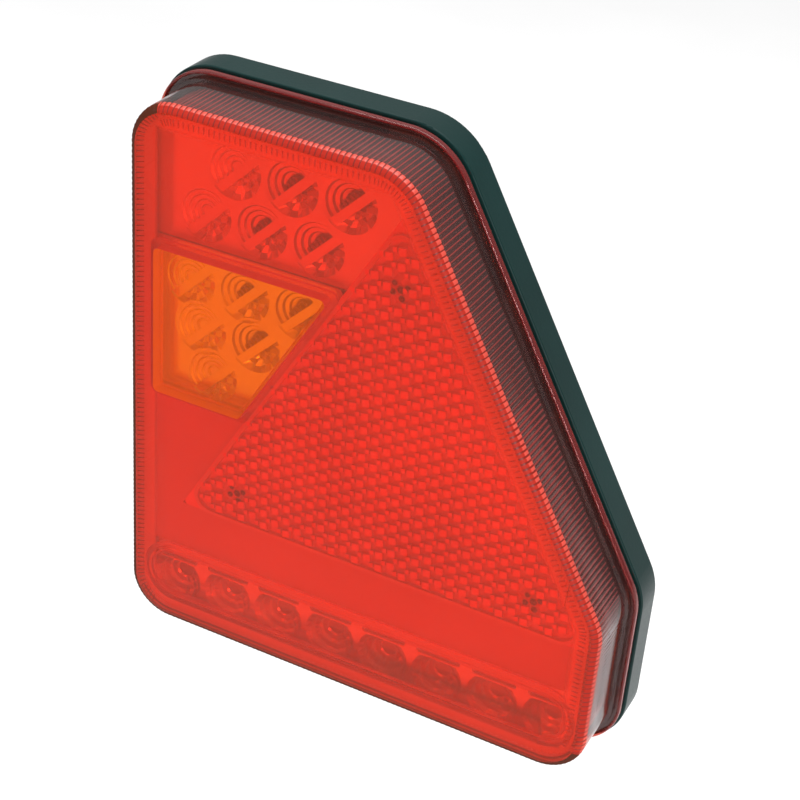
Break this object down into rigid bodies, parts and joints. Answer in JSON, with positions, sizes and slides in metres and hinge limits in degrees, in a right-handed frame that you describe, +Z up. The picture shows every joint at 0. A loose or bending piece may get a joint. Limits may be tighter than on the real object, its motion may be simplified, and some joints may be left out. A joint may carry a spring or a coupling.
{
  "type": "trailer tail light",
  "caption": "Sealed rear lamp for a trailer: stop, tail and turn lights and a triangular reflector behind one red lens, held by studs on its flat back.",
  "frame": {"origin": "midpoint of the two mounting studs, on the flat rear face of the housing", "axes": "+X to the right seen from behind the vehicle, where the long slanted edge is; +Y out of the rear face, into the vehicle; +Z up; the lens faces -Y"},
  "size_m": [0.2, 0.0615, 0.223],
  "materials": {
    "housing_plastic": "satin moulded plastic, very dark green",
    "gasket_foam": "closed-cell foam",
    "stud_steel": "zinc plated",
    "grommet_rubber": "moulded rubber",
    "vent_plastic": "porous membrane cap",
    "seal_rubber": "matt sealing bead",
    "red_plastic": "clear red moulded plastic",
    "amber_plastic": "clear amber moulded plastic",
    "prism_plastic": "clear red plastic with corner-cube back",
    "carrier_plastic": "red moulded plastic",
    "screw_steel": "blackened steel",
    "metallised_plastic": "plastic with a vacuum-metallised mirror coat",
    "panel_plastic": "plain red moulded plastic",
    "board_laminate": "green solder mask",
    "led_body": "white package with clear dome",
    "component_black": "moulded epoxy",
    "can_aluminium": "drawn can",
    "terminal_plastic": "moulded terminal body",
    "terminal_steel": "plated"
  },
  "bodies": {
    "root": {"rear_housing": "housing_plastic", "mounting_gasket": "gasket_foam", "mounting_studs": "stud_steel", "cable_grommet": "grommet_rubber", "breather_vent": "vent_plastic", "lens_seal": "seal_rubber", "lens_red": "red_plastic", "lens_amber": "amber_plastic", "reflex_prisms": "prism_plastic", "reflex_carrier": "carrier_plastic", "reflex_screws": "screw_steel", "stop_reflector": "metallised_plastic", "turn_reflector": "metallised_plastic", "strip_reflector": "metallised_plastic", "blank_panel": "panel_plastic", "circuit_board": "board_laminate", "stop_leds": "led_body", "turn_leds": "led_body", "strip_leds": "led_body", "board_screws": "screw_steel", "resistors": "component_black", "driver_chips": "component_black", "capacitors": "can_aluminium", "terminal_block": "terminal_plastic", "terminal_screws": "terminal_steel"}
  },
  "joints": []
}
